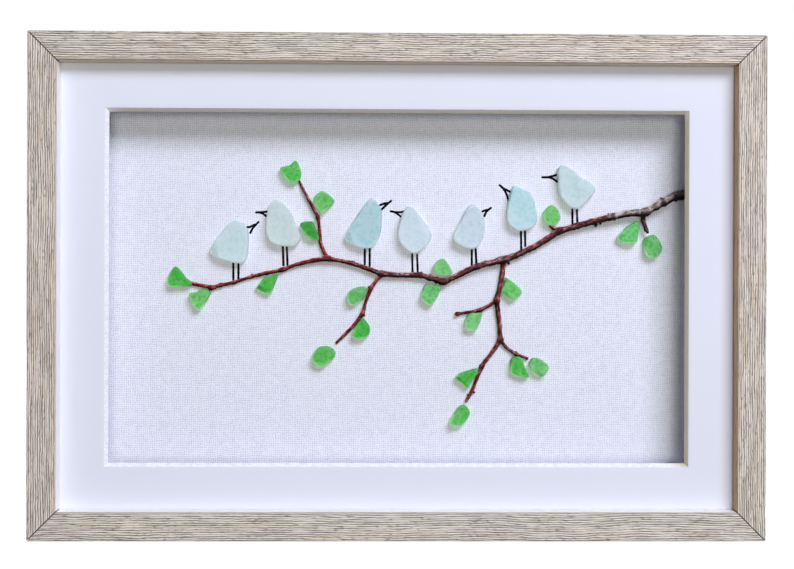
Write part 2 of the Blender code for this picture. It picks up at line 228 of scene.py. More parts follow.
railStyle = {
    "lipWidth": 5.0, "lipDepth": 8.0, "arris": 0.5, "lipArris": 0.2, "mitreGap": 0.12,
    "steps": [2.0, 0.4, 0.2, 0.2, 1.2, 5.0],     # between points: back, outside, front, lip, its rear, rabbet
    "lengthStep": 1.3, "endSteps": (0, 0.1, 0.25, 0.6, 1.2),
    "linePitch": 1.25, "lineDepth": 0.14, "jointSink": 0.05,
    "greige": (0.60, 0.515, 0.385), "pale": (1.0, 0.92, 0.765), "dark": (0.085, 0.058, 0.033),
    "lilac": (0.60, 0.495, 0.42), "tan": (0.645, 0.51, 0.345), "olive": (0.545, 0.50, 0.36),
    "bleached": (0.86, 0.78, 0.72), "lipCream": (1.0, 0.97, 0.93), "lipTan": (0.62, 0.36, 0.135),
    "rawWood": (0.66, 0.48, 0.30), "rawDark": (0.50, 0.33, 0.19),
    "edgeDark": (0.13, 0.09, 0.06), "jointDark": (0.09, 0.055, 0.035),
    # how pale the lip's inner side is painted, as painted light on the rails the lamp reaches, and how dark
    # the painted shade lines along its arris and its foot
    "lipPale": {"top": 0.42, "right": 0.08, "bottom": 1.0, "left": 1.0},
    "arrisLine": {"top": 0.75, "right": 0.7, "bottom": 0.3, "left": 0.2},
    "footLine": {"top": 0.5, "right": 0.95, "bottom": 0.05, "left": 0.0},
    # how far each rail is painted paler, as painted light on the rails the lamp lights less
    "bleach": {"top": 0.0, "right": 0.1, "bottom": 0.3, "left": 0.12},
    "turns": {"top": 0, "right": math.pi / 2, "bottom": math.pi, "left": -math.pi / 2},
}


def washedOak(style):
    # the place is along the rail, inwards from its outer edge, and back
    material, place = startMaterial("washed oak", "railPlace")
    patches = cloud(place, (26, 150, 150), 3)
    warm = cloud(place, (28.9, 187, 187), 2)
    streak = cloud(place, (75, 900, 900), 4, 0.62, 0.25)
    pores = cloud(place, (420, 2600, 2600), 3, 0.6)
    base = layered(
        style["greige"], (patches, 0.40, 0.60, 1.0, style["lilac"]), (warm, 0.50, 0.64, 0.8, style["tan"]),
        (warm, 0.47, 0.36, 0.75, style["olive"]), (streak, 0.52, 0.70, 0.2, style["pale"]),
        (streak, 0.48, 0.32, 0.12, style["dark"]),
    )
    # painted light: the rails the lamp lights less are painted paler
    base = tinted(ownValue(place, "bleach"), base, style["bleached"])
    ridge = ownValue(place, "ridge")
    base = tinted(times(ridge, 0.9), base, style["pale"])
    base = tinted(times(ownValue(place, "groove"), 0.95), base, style["dark"])
    base = layered(base, (pores, 0.57, 0.72, 0.55, style["dark"]))
    base = tinted(times(ownValue(place, "innerEdge"), 0.5), base, style["tan"])
    lip = layered(style["lipTan"], (streak, 0.50, 0.36, 0.5, style["dark"]))
    # painted light: the lip's inner side turns cream on the rails the lamp reaches and stays tan on the
    # others
    lip = tinted(ownValue(place, "lipPale"), lip, style["lipCream"])
    base = tinted(ownValue(place, "lipSide"), base, lip)
    # painted shade along the inner arris and the lip's foot, and a dark line along the outer arris
    base = tinted(ownValue(place, "arrisLine"), base, style["edgeDark"])
    base = tinted(times(ownValue(place, "joint"), 0.7), base, style["jointDark"])
    rings = cloud(place, (12, 420, 420), 4, 0.6, 0.4)
    raw = layered(style["rawWood"], (rings, 0.4, 0.62, 1.0, style["rawDark"]))
    base = tinted(ownValue(place, "rawSide"), base, raw)
    height = calc("SUBTRACT", calc("ADD", streak, times(ridge, 0.5)), pores)
    return endMaterial(material, base, spread(streak, 0.3, 0.7, 0.62, 0.44), height, 0.00012)


# Brushed grain: dark lines a pitch apart, ((1 + cos 2 pi phase) / 2) to a power, where phase is the place
# across in pitches pushed sideways by clouds of three sizes; each line fades along its own length, and
# the pale ridges between are the same with minus cos.
def grainLines(along, across, seed, pitch):
    push = 1.5 * cloudValues(along / 46, across / 16, seed)
    push = push + 0.4 * cloudValues(along / 11, across / 7, seed + 1)
    push = push + 0.24 * cloudValues(along / 2.2, across / 1.6, seed + 2)
    phase = across / pitch + push
    wave = np.cos(2 * math.pi * phase)
    line, space = np.round(phase), np.floor(phase)
    strength = np.clip(2.6 * (cloudValues(along / 8.5 + 9.7 * line, line, seed + 3) - 0.12), 0.22, 1)
    light = np.clip(2.6 * (cloudValues(along / 9.5 + 5.3 * space, space, seed + 4) - 0.14), 0.2, 1)
    ticks = np.clip(6 * (cloudValues(along / 1.9, across / 0.45, seed + 5) - 0.74), 0, 1)
    valley = np.clip(((1 + wave) / 2) ** 3.0 * strength + 0.6 * ticks, 0, 1)
    return valley, ((1 - wave) / 2) ** 2.0 * light


# Closed line round corner points in a plane: each corner is cut by a quarter-round, drawn as
# (1-t)^2 start + 2t(1-t) corner + t^2 end, and each straight is filled with points a step apart.
def easedLoop(corners, easing, steps):
    corners = np.array(corners, float)
    starts, ends, arcs = [], [], []
    for i, here in enumerate(corners):
        before, after = corners[i - 1] - here, corners[(i + 1) % len(corners)] - here
        start = here + before / np.linalg.norm(before) * easing[i]
        end = here + after / np.linalg.norm(after) * easing[i]
        t = np.linspace(0, 1, 6 if easing[i] > 0 else 1)[:, None]
        starts.append(start)
        ends.append(end)
        arcs.append((1 - t) ** 2 * start + 2 * t * (1 - t) * here + t ** 2 * end)
    line, part = [], []
    for i, arc in enumerate(arcs):
        goal = starts[(i + 1) % len(corners)]
        count = max(int(np.linalg.norm(goal - ends[i]) / steps[i]), 1)
        t = np.linspace(0, 1, count + 1)[1:-1, None]
        straight = ends[i] + (goal - ends[i]) * t
        line += [arc, straight]
        part += [np.full(len(arc), i + 0.5), np.full(len(straight), float(i + 1))]
    return np.concatenate(line), np.concatenate(part)


# A rail is its rabbeted section carried along its length: point(s, k) = (left(k) + s (right(k) - left(k)),
# section(k) - grain depth * normal(k)), with ends on the mitre planes, turned about the picture's middle.
def makeRail(side, number, material, style):
    node, turn = "frame_rail_" + side, style["turns"][side]
    low, high = (np.array(corner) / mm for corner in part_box(node))
    depth = high[1] - low[1]
    level = abs(math.sin(turn)) < 0.5
    length, face = (high - low)[[0, 2] if level else [2, 0]]
    wall, lipDepth = face - style["lipWidth"], style["lipDepth"]
    corners = [(wall, depth), (0, depth), (0, 0), (face, 0), (face, lipDepth), (wall, lipDepth)]
    arris = style["arris"]
    section, part = easedLoop(corners, [0, arris, arris, arris, style["lipArris"], 0], style["steps"])
    inset, behind = section.T                               # inwards from the outer edge, and back
    foil = ((part > 1.4) & (part < 4.6)).astype(float)      # the wrapped faces: outside, front and lip
    tangent = np.roll(section, -1, axis=0) - np.roll(section, 1, axis=0)
    normal = np.stack([tangent[:, 1], -tangent[:, 0]], axis=1) / np.linalg.norm(tangent, axis=1)[:, None]
    ends = np.array(style["endSteps"])
    share = np.linspace(0, 1, int(length / style["lengthStep"]))[1:-1]
    share = np.concatenate([ends / length, share, 1 - ends[::-1] / length])
    reach = length / 2 - inset - style["mitreGap"] / math.sqrt(2)
    along = -reach[None, :] + share[:, None] * 2 * reach[None, :]
    toJoint = np.minimum(share, 1 - share)[:, None] * 2 * reach[None, :]
    across = lengthWalked(section) + along * 0
    groove, ridge = grainLines(along, across, 10 * number, style["linePitch"])
    lipSide = ((part > 3.4) & (part < 4.7)) * np.clip((behind - 0.2) / 0.4, 0, 1)
    groove = groove * foil[None, :] * (1 - 0.7 * lipSide[None, :])
    sink = style["lineDepth"] * groove + style["jointSink"] * np.exp(-toJoint / 0.1) * foil[None, :]
    inward = np.clip(inset - sink * normal[:, 0], 0, face)
    back = np.clip(behind - sink * normal[:, 1], 0, depth)
    middle = (cadBox[0][2] + cadBox[1][2]) / 2
    outer = (cadBox[1][2] - cadBox[0][2]) / 2 if level else (cadBox[1][0] - cadBox[0][0]) / 2
    up = outer / mm - inward
    x = along * math.cos(turn) + up * math.sin(turn)
    z = -along * math.sin(turn) + up * math.cos(turn) + middle / mm
    points = np.stack([x, low[1] + back, z], axis=-1).reshape(-1, 3) * mm
    rows, columns = along.shape
    column = np.arange(columns)[None, :]
    faces = [ringQuads(rows, columns), column[:, ::-1], (rows - 1) * columns + column]
    apart = 700.0 * number                                  # so that no two rails share a stretch of grain
    place = np.stack([along + apart, inset + along * 0, behind + along * 0], axis=-1)
    fromInner, fromOuter = (np.hypot(inset - edge, behind - 0.1) for edge in (face - 0.1, 0.1))
    # painted shade along the inner arris, strongest on the rails turned from the lamp, a dark line along the
    # outer arris of every rail, and painted shade where the lip's foot meets the mat
    arrisLine = style["arrisLine"][side] * np.exp(-(fromInner / 0.42) ** 2)
    arrisLine += 0.5 * np.exp(-(fromOuter / 0.5) ** 2)
    arrisLine += style["footLine"][side] * np.exp(-(behind - lipDepth) ** 2) * lipSide
    innerEdge = np.exp(-((face - inset) / 1.3) ** 2) * (behind < 0.8)
    bySection = {
        "rawSide": 1 - foil, "innerEdge": innerEdge, "lipSide": lipSide, "arrisLine": arrisLine,
        "lipPale": foil * 0 + style["lipPale"][side], "bleach": foil * 0 + style["bleach"][side],
    }
    values = {key: np.tile(line, rows) for key, line in bySection.items()}
    values["railPlace"] = place.reshape(-1, 3) * mm
    values["groove"], values["ridge"] = groove.ravel(), (ridge * foil[None, :]).ravel()
    values["joint"] = np.exp(-toJoint / 0.12).ravel()
    makePiece("oakRail" + side.capitalize(), points, faces, material, [node], values)


oak = washedOak(railStyle)
for number, side in enumerate(railStyle["turns"], 1):
    makeRail(side, number, oak, railStyle)
print("made the four mitred rails")


matStyle = {
    "edgeEase": 0.12, "sidePoints": 36, "bevelPoints": 7, "faceShares": (0.08, 0.3, 0.6, 0.9, 0.995),
    "face": (0.81, 0.82, 0.855), "faceLow": (0.795, 0.805, 0.835), "faceTooth": (0.70, 0.71, 0.76),
    "core": (0.96, 0.955, 0.94), "coreLow": (0.84, 0.83, 0.81), "toothDepth": 0.00004,
    # painted shade: the bevel's core turns darker and warmer on the top and right sides, turned from the lamp
    "dustyCore": (0.57, 0.515, 0.375), "dust": {"bottom": 0.0, "right": 1.0, "top": 0.75, "left": 0.0},
}


def matPaper(style):
    material, place = startMaterial("mat board")
    tooth = cloud(place, 2600, 3, 0.6)
    fibres = cloud(place, (380, 380, 900), 3, 0.6)
    drift = cloud(place, 9, 2)
    face = layered(style["face"], (drift, 0.3, 0.7, 1.0, style["faceLow"]))
    face = layered(face, (tooth, 0.35, 0.7, 0.10, style["faceTooth"]))
    core = layered(style["core"], (fibres, 0.35, 0.65, 1.0, style["coreLow"]))
    # painted shade on the bevels turned from the lamp
    core = tinted(ownValue(place, "dust"), core, style["dustyCore"])
    colour = tinted(ownValue(place, "core"), face, core)
    roughness = spread(fibres, 0.3, 0.7, 0.82, 0.95)
    return endMaterial(material, colour, roughness, tooth, style["toothDepth"], {"Specular IOR Level": 0.3})


# The mat is one profile carried round four sides: each profile point is a rectangle at its own
# depth, from the window's inner edge over the bevel and the face to the board's edge, and back.
def makeMat(material, style):
    low, high = (np.array(corner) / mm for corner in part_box("mat"))
    thick = high[1] - low[1]
    window = np.array(layout["window"])
    board = np.array([low[0], high[0], low[2], high[2]])
    grow = np.array([-1, 1, -1, 1])
    ease = style["edgeEase"]
    t = np.linspace(0.02, 1 - ease / thick, style["bevelPoints"])
    bevel = list(zip(t * thick - thick, thick - t * thick))
    rim = [(-ease * 0.35, ease * 0.12), (ease * 0.4, 0.02), (ease, 0)]
    rects = [window + grow * out for out, back in bevel + rim]
    depths = [back for out, back in bevel + rim]
    rects += [rects[-1] * (1 - t) + board * t for t in style["faceShares"]]
    depths += [0] * len(style["faceShares"])
    rects += [board, board, board - grow * 0.1, window - grow * (thick - 0.15)]
    depths += [0.1, thick - 0.1, thick, thick]
    rects, depths = np.array(rects), np.array(depths)
    t = np.linspace(0, 1, style["sidePoints"], endpoint=False)
    across = np.concatenate([t, t * 0 + 1, 1 - t, t * 0])
    upward = np.concatenate([t * 0, t, t * 0 + 1, 1 - t])
    x = rects[:, :1] + (rects[:, 1:2] - rects[:, :1]) * across
    z = rects[:, 2:3] + (rects[:, 3:] - rects[:, 2:3]) * upward
    points = np.stack([x, low[1] + depths[:, None] + x * 0, z], axis=-1).reshape(-1, 3) * mm
    rows, columns = x.shape
    closing = ringQuads(2, columns)
    closing = np.where(closing < columns, closing + (rows - 1) * columns, closing - columns)
    core = (np.arange(rows) <= len(bevel)).astype(float)
    # painted shade on the top and right bevels, deepest at the window's inner edge
    dust = np.repeat([style["dust"][side] for side in ("bottom", "right", "top", "left")], len(t))
    deep = np.clip(1 - np.arange(rows) / len(bevel), 0, 1)[:, None]
    values = {"core": np.repeat(core, columns), "dust": (dust[None, :] * (0.7 + 0.45 * deep)).ravel()}
    faces = [ringQuads(rows, columns), closing]
    makePiece("bevelledMat", points, faces, material, ["mat"], values, 30)


makeMat(matPaper(matStyle), matStyle)
print("made the mat with its bevelled window")


boardStyle = {
    "canvas": (0.955, 0.957, 1.0), "threadPitch": 1.24, "weaveDepth": 0.0002,
    "spacer": (0.97, 0.97, 0.96), "kraft": (0.40, 0.275, 0.165), "steel": (0.70, 0.705, 0.72),
}


# Plain weave: with a, b the place in threads, the warp |sin pi a| shows on every other square of
# the thread grid and the weft |sin pi b| on the rest, both tapering where they dive under. The gaps
# between threads are darker, less so in faint patches where primer fills them, and specks lie over all.
def canvasWeave(style):
    material, place = startMaterial("primed canvas")
    parts = addNode("ShaderNodeSeparateXYZ", {0: place})
    scale = 1 / (style["threadPitch"] * mm)
    nudge = calc("ADD", times(cloud(place, 130, 3, 0.6), 1.7), times(cloud(place, 620, 2), 0.9))
    a, b = (calc("ADD", times(parts[axis], scale), nudge) for axis in ("X", "Z"))
    sineA, sineB = (calc("ABSOLUTE", calc("SINE", times(thread, math.pi))) for thread in (a, b))
    odd = calc("PINGPONG", calc("ADD", calc("FLOOR", a), calc("FLOOR", b)), 1.0)
    warp = times(calc("POWER", sineA, 0.6), calc("POWER", sineB, 0.35))
    weft = times(calc("POWER", sineB, 0.6), calc("POWER", sineA, 0.35))
    weave = calc("ADD", times(warp, odd), times(weft, calc("SUBTRACT", 1.0, odd)))
    slubs = calc("ADD", cloud(place, (60, 60, 1400), 3), cloud(place, (1400, 60, 60), 3))
    height = calc("ADD", weave, times(slubs, 0.45))
    faint = spread(cloud(place, 240, 3), 0.36, 0.62, 0.6, 1.0)
    gaps = times(spread(calc("MINIMUM", sineA, sineB), 0.05, 0.6, 0.5, 0.0), faint)
    colour = tinted(gaps, style["canvas"], (0.40, 0.41, 0.46))
    colour = layered(colour, (cloud(place, 760, 2), 0.46, 0.34, 0.17, (0.60, 0.61, 0.66)))
    colour = tinted(spread(height, 0.25, 1.1, 0.3, 0.0), colour, (0.55, 0.56, 0.61))
    colour = layered(colour, (cloud(place, 14, 2), 0.35, 0.7, 0.15, (0.86, 0.86, 0.88)))
    roughness = spread(weave, 0.0, 1.0, 0.9, 0.72)
    return endMaterial(material, colour, roughness, height, style["weaveDepth"], {"Specular IOR Level": 0.3})


def spacerBoard(style):
    material, place = startMaterial("white spacer board")
    pulp = cloud(place, 900, 4, 0.6)
    scuffs = (cloud(place, (40, 300, 40), 3), 0.55, 0.75, 0.35, (0.74, 0.72, 0.68))
    colour = layered(style["spacer"], (pulp, 0.35, 0.7, 0.2, (0.78, 0.78, 0.76)), scuffs)
    return endMaterial(material, colour, spread(pulp, 0.3, 0.7, 0.8, 0.95), pulp, 0.00006)


def kraftBoard(style):
    material, place = startMaterial("kraft back board")
    pulp = cloud(place, 420, 5, 0.65)
    fibre, fibreUp = (cloud(place, scale, 3, 0.6, 0.6) for scale in ((220, 220, 1500), (1500, 220, 220)))
    patches = (cloud(place, 16, 3), 0.3, 0.7, 1.0, (0.46, 0.325, 0.20))
    colour = layered(style["kraft"], patches, (pulp, 0.4, 0.7, 0.4, (0.27, 0.175, 0.10)))
    pale = calc("MAXIMUM", spread(fibre, 0.62, 0.72), spread(fibreUp, 0.62, 0.72))
    colour = tinted(times(pale, 0.5), colour, (0.62, 0.48, 0.33))
    roughness = spread(pulp, 0.3, 0.7, 0.78, 0.92)
    return endMaterial(material, colour, roughness, calc("ADD", pulp, fibre), 0.00008)


def zincSteel(style):
    material, place = startMaterial("zinc-plated steel")
    brushed = cloud(place, (180, 2200, 5200), 3)
    spangle = cloud(place, 520, 3, 0.6)
    scratches = (brushed, 0.55, 0.8, 0.4, (0.34, 0.34, 0.35))
    colour = layered(style["steel"], (spangle, 0.35, 0.7, 1.0, (0.70, 0.70, 0.69)), scratches)
    roughness = spread(spangle, 0.3, 0.7, 0.28, 0.46)
    return endMaterial(material, colour, roughness, brushed, 0.00003, {"Metallic": 1.0})


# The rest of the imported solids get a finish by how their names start; their shapes stay as they are.
steel = zincSteel(boardStyle)
finishes = {
    "canvas_board": canvasWeave(boardStyle), "spacer_": spacerBoard(boardStyle),
    "back_board": kraftBoard(boardStyle), "retaining_tab": steel, "sawtooth_hanger": steel,
    "hanger_nail": steel,
}
for name, solid in nodes.items():
    for start, finish in finishes.items():
        if name.startswith(start):
            if not solid.material_slots:
                solid.data.materials.append(finish)
            for slot in solid.material_slots:
                slot.material = finish
print("dressed the canvas, boards, spacers and steel fittings")


twigStyle = {
    "step": 0.5, "sides": 24, "kink": 0.55, "gapToCanvas": 0.02,
    # how far the stems wave off the canvas, and how much further they stand off it towards the right
    "lift": 1.7, "rise": 2.2, "riseFrom": 60.0, "riseTo": 140.0,
    # least thickness of the bark, and what lumps and fine bark add to it, with their lengths
    "leanest": 0.75, "lumps": 0.30, "lumpLength": 2.6, "fineBark": 0.22, "fineLength": 0.9,
    "redBark": (0.40, 0.018, 0.007), "plumBark": (0.155, 0.052, 0.044), "greyBark": (0.60, 0.50, 0.42),
    # the first two colours on the next line are painted highlight for the raised bark ridges
    "redSatin": (0.84, 0.16, 0.10), "plumSatin": (0.66, 0.42, 0.39), "pinkFleck": (0.70, 0.40, 0.34),
    "greyDark": (0.14, 0.11, 0.088), "greyFleck": (0.82, 0.73, 0.66),
    # the second colour on the next line is painted shade for the stems' lower-left sides
    "knotBark": (0.014, 0.005, 0.004), "underBark": (0.014, 0.003, 0.0025),
    # how red the bark is on each side stem, and where along the main stem it turns plum and then grey
    "redness": {
        "upper": 0.6, "lower": 0.65, "hanging": 0.45, "inner": 0.6, "outer": 0.4, "drop": 0.0, "stub": 0.5,
    },
    "plumFrom": -52.0, "plumTo": -8.0, "leastRed": 0.25, "greyFrom": 119.0, "greyTo": 124.0,
    "underTowards": (-0.38, -0.92), "budShape": ((0, 0.8), (0.5, 1.0), (1, 0.45)), "budProud": 0.5,
    # across and up from the window's middle, and thickness, in millimetres
    "stems": {
        "main": [
            (-119.4, 2.4, 1.9), (-112.6, 1.2, 2.1), (-106, -0.2, 2.1), (-101, 1.3, 1.9), (-93.9, 2.8, 1.9),
            (-83.4, 6.3, 1.9), (-74.9, 8.3, 2.0), (-66.2, 10.1, 2.2), (-58.4, 13.1, 2.2), (-48.2, 15.6, 2.4),
            (-40.1, 16.7, 2.5), (-32.6, 15.4, 2.4), (-25.7, 14, 2.4), (-17.1, 11.1, 2.6), (-8.9, 8.2, 2.9),
            (2, 7.4, 2.8), (13, 7.4, 2.9), (20.6, 5.4, 2.9), (26.5, 3.7, 3.4), (34.1, 7.1, 3.2),
            (45.8, 12.6, 3.3), (61, 16.4, 3.7), (71.1, 20.3, 3.4), (82.2, 26.1, 3.4), (93.4, 33.1, 3.7),
            (104.6, 36.4, 3.4), (114.4, 39.2, 3.4), (123.3, 41.2, 3.7), (131.7, 43.1, 3.7), (142, 44, 3.9),
            (152.2, 49.7, 3.9), (158.7, 53, 4), (174.6, 56.5, 4),
        ],
        "upper": [
            (-40.1, 16.7, 2.2), (-42.5, 21.5, 2.1), (-44.1, 26.1, 2), (-44.9, 35.8, 1.8), (-45.7, 40.6, 1.9),
            (-51.3, 50.9, 1.7), (-55.2, 58.6, 1.5), (-56.5, 61.5, 1.3),
        ],
        "lower": [
            (-8.9, 8.2, 2.2), (-15.0, 0, 2.1), (-18.0, -8, 2.0), (-20.0, -15.1, 2.1), (-25.8, -22.6, 1.9),
            (-35.2, -32.1, 1.6),
        ],
        "hanging": [
            (61, 16.4, 2.9), (59.7, 3.4, 2.8), (57.3, -7.1, 2.9), (58.6, -18, 2.6), (59.2, -29.6, 2.5),
            (54.6, -36.9, 2.3), (48.7, -45, 2.2), (43.0, -59.5, 1.9), (39.5, -65.5, 1.7),
        ],
        "inner": [(57.3, -7.1, 2), (48, -12.4, 1.9), (40, -14, 1.7), (33.1, -15, 1.7)],
        "outer": [(59.2, -29.6, 2), (63.4, -34.5, 1.8), (68.3, -37.7, 1.8), (75.6, -40.6, 1.6)],
        "drop": [(140.6, 43.9, 2.5), (141.5, 37.5, 2.3), (143.2, 32.6, 2.1)],
        "stub": [(93.4, 33.1, 2.4), (89.6, 34.6, 2.1), (87.4, 36.6, 1.6)],
    },
    # swellings: across, up, extra thickness, length along the stem, darkness
    "knots": [
        (-106, -0.6, 0.9, 1.6, 0.6), (-101, 1.3, 0.4, 1.2, 0.5), (-93.9, 2.8, 0.3, 1.2, 0.4),
        (-74.9, 8.3, 0.4, 1.2, 0.5), (-66.2, 10.1, 0.7, 1.5, 0.8), (-48.2, 15.6, 0.3, 1.2, 0.4),
        (-40.1, 16.7, 0.9, 2.0, 0.5), (-25.7, 14, 0.3, 1.2, 0.4), (-8.9, 8.2, 0.8, 2.0, 0.4),
        (13, 7.4, 0.7, 1.6, 0.7), (26.5, 3.7, 0.9, 1.8, 0.8), (45.8, 12.6, 0.3, 1.4, 0.4),
        (61, 16.4, 0.9, 2.4, 0.5), (71.1, 20.3, 0.4, 1.4, 0.5), (93.4, 33.1, 0.9, 1.8, 0.8),
        (104.6, 36.4, 0.3, 1.4, 0.4), (123.3, 41.2, 0.8, 1.5, 1.0), (142, 44, 1.1, 2.4, 0.6),
        (152.2, 49.7, 0.8, 1.5, 0.9), (158.7, 53, 0.7, 1.5, 1.0), (-45.4, 40.4, 0.6, 1.3, 0.7),
        (-15.4, 0, 0.5, 1.3, 0.6), (-19.9, -15.1, 0.6, 1.3, 0.7), (57.3, -7.1, 0.9, 1.7, 0.6),
        (59.2, -29.6, 0.9, 1.7, 0.6), (48.9, -45, 0.7, 1.4, 0.7), (48, -12.4, 0.5, 1.2, 0.6),
        (34, -14.9, 1.0, 1.6, 0.5), (68.3, -37.7, 0.6, 1.3, 0.7), (143.2, 32.6, 0.6, 1.2, 0.8),
        (93, 34.2, 0.8, 1.2, 0.6), (71.0, 20.6, 0.5, 0.5, 1.0), (18.5, 6.2, 0.7, 1.1, 0.8),
        (22.6, 4.2, 0.6, 1.0, 0.7), (39.4, -65.9, 0.4, 0.9, 1.0), (75.2, -41, 0.4, 1.0, 0.9),
        (161.8, 53.6, 1.5, 3.8, 1.0), (166.5, 54.8, 0.6, 6.5, 1.0), (160.5, 53.3, 0.4, 5.5, 1.0),
        (140.9, 41.2, 0.1, 3.6, 0.95), (141.9, 36.2, 0.1, 3.8, 0.85), (137.5, 43.6, 0.5, 1.2, 0.4),
        (147.6, 47.4, 0.5, 1.4, 0.5),
    ],
    # buds and leaf scars: across, up, direction in degrees, length, thickness, darkness
    "buds": [
        (-106.2, -0.4, 215, 2.4, 1.7, 0.15), (-103.8, 0.3, 250, 1.6, 1.2, 0.2),
        (-100.9, 1.3, 100, 1.5, 1.3, 0.7),
        (-94.2, 3.1, 60, 1.0, 0.9, 0.1), (-83.5, 6.4, 75, 1.6, 1.3, 0.5), (-74.9, 8.3, 95, 1.4, 1.1, 0.8),
        (-66.6, 9.9, 40, 2.0, 1.7, 0.9), (-64.6, 10.6, 300, 1.6, 1.4, 0.9), (-39.5, 17.2, 40, 1.8, 1.5, 0.4),
        (-15.6, 0.1, 150, 1.5, 1.4, 0.5), (-19.8, -14.9, 320, 2.0, 1.5, 0.1), (13.4, 7.7, 70, 1.9, 1.7, 0.6),
        (18.6, 6.2, 250, 1.7, 1.5, 0.9), (22.8, 4.2, 240, 2.0, 1.7, 0.9), (27.2, 3.4, 300, 1.7, 1.7, 0.9),
        (63.2, 15.9, 300, 2.6, 1.7, 0.8), (65, 17, 40, 1.6, 1.3, 0.1), (93, 33.2, 110, 1.9, 1.5, 0.9),
        (114, 38.0, 265, 2.6, 2.0, 0.8), (117, 38.6, 250, 2.0, 1.6, 0.9), (121.6, 41.2, 105, 2.2, 1.7, 1.0),
        (125, 41.8, 100, 2.0, 1.6, 1.0), (124.4, 40.6, 280, 1.6, 1.5, 0.8), (151.6, 50.2, 100, 2.4, 2.0, 1.0),
        (159.2, 53.4, 110, 2.4, 2.1, 1.0), (159.4, 52.2, 290, 2.3, 1.9, 1.0),
        (57.2, -7.2, 200, 1.8, 1.5, 0.3),
        (60, -29.8, 20, 1.7, 1.4, 0.9), (47.9, -46, 70, 1.4, 1.1, 0.1), (43.4, -59.6, 350, 1.7, 1.4, 0.6),
        (41.6, -61.6, 160, 1.5, 1.2, 0.7), (67.9, -37.5, 60, 1.6, 1.4, 0.5), (35, -15.2, 190, 1.5, 1.5, 0.7),
        (48.4, -12.4, 100, 1.1, 1.0, 0.2), (142.8, 33, 330, 1.7, 1.8, 0.9), (-45.2, 40.6, 160, 1.4, 1.1, 0.6),
    ],
}


# Smooth line through the control rows, drawn towards the straights between them by the kink share, then
# placed again at points a step apart.
def smoothRoute(rows, step, kink=0.0):
    rows = np.array(rows, float)
    ends = np.concatenate([[2 * rows[0] - rows[1]], rows, [2 * rows[-1] - rows[-2]]])
    t = np.linspace(0, 1, 12, endpoint=False)[None, :, None]
    a, b, c, d = (ends[i:len(ends) - 3 + i, None, :] for i in range(4))
    line = (1 - kink) * curveBetween(a, b, c, d, t) + kink * (b + (c - b) * t)
    line = np.concatenate([line.reshape(-1, rows.shape[1]), rows[-1:]])
    walked = lengthWalked(line[:, :2])
    places = np.linspace(0, walked[-1], max(int(walked[-1] / step), 6))
    return np.stack([np.interp(places, walked, column) for column in line.T], axis=1), places


# A stem is a round section carried along its route: point(s, a) = route(s) + radius(s, a) *
# (cos a * side(s) + sin a * front), closed by a point beyond each end.
def sweepStem(route, radius, flatness=1.0):
    forward = np.gradient(route, axis=0)
    forward /= np.linalg.norm(forward, axis=1)[:, None]
    front = np.array([0, -1.0, 0]) - forward * (-forward[:, 1:2])
    front /= np.linalg.norm(front, axis=1)[:, None]
    side = np.cross(forward, front)
    angle = np.linspace(0, 2 * math.pi, radius.shape[1], endpoint=False)[None, :, None]
    out = np.cos(angle) * side[:, None, :] + flatness * np.sin(angle) * front[:, None, :]
    rings = route[:, None, :] + radius[:, :, None] * out
    beyond = forward * radius.mean(axis=1)[:, None] * 0.3
    tips = np.stack([route[0] - beyond[0], route[-1] + beyond[-1]])
    return np.concatenate([rings.reshape(-1, 3), tips]), skinFaces(*radius.shape)


# Ends of a stem, drawn in like half a ball: 1 along the stem, sqrt(1 - (1 - d/r)^2) within r of an end.
def roundedEnds(places, radius):
    toEnd = np.minimum(places, places[-1] - places)
    return np.sqrt(1 - np.clip(1 - (toEnd + 0.02) / radius, 0, 1) ** 2)


def ramp(places, start, end, least=0.0):
    return np.clip((places - start) / (end - start), least, 1)


def toWorld(across, up, y):
    middle = layout["windowMiddle"]
    return np.stack([middle[0] + across, y, middle[1] + up], axis=-1) * mm


def joinParts(parts):
    offset, points, faces = 0, [], []
    for partPoints, partFaces in parts:
        points.append(partPoints)
        faces += [np.asarray(group) + offset for group in partFaces]
        offset += len(partPoints)
    return np.concatenate(points), faces


def twigBark(style):
    # the place is along the stem, and round it on a straight rod
    material, place = startMaterial("twig bark", "barkPlace")
    ridges = cloud(place, (230, 760, 760), 5, 0.62)
    flecks = cloud(place, (460, 900, 900), 3)
    drift = cloud(place, (70, 160, 160), 3)
    redness = times(ownValue(place, "redness"), spread(drift, 0.35, 0.6, 1.0, 0.75))
    ridgeHighlight = tinted(redness, style["plumSatin"], style["redSatin"])
    red = tinted(redness, style["plumBark"], style["redBark"])
    # painted highlight on the raised ridges
    red = layered(red, (ridges, 0.52, 0.61, 0.85, ridgeHighlight), (ridges, 0.47, 0.39, 0.85, style["knotBark"]))
    grey = layered(style["greyDark"], (ridges, 0.41, 0.53, 1.0, style["greyBark"]))
    grey = layered(grey, (flecks, 0.54, 0.62, 0.7, style["greyFleck"]))
    bark = tinted(ownValue(place, "grey"), red, grey)
    bark = layered(bark, (flecks, 0.60, 0.66, 0.6, style["pinkFleck"]))
    bark = layered(bark, (flecks, 0.42, 0.35, 0.8, style["knotBark"]))
    # painted shade on each stem's lower-left side, turned from the lamp
    bark = tinted(ownValue(place, "under"), bark, style["underBark"])
    bark = tinted(ownValue(place, "knot"), bark, style["knotBark"])
    height = calc("ADD", ridges, times(flecks, 0.4))
    roughness = spread(ridges, 0.3, 0.7, 0.55, 0.36)
    return endMaterial(material, bark, roughness, height, 0.0002, {"Specular IOR Level": 0.11})


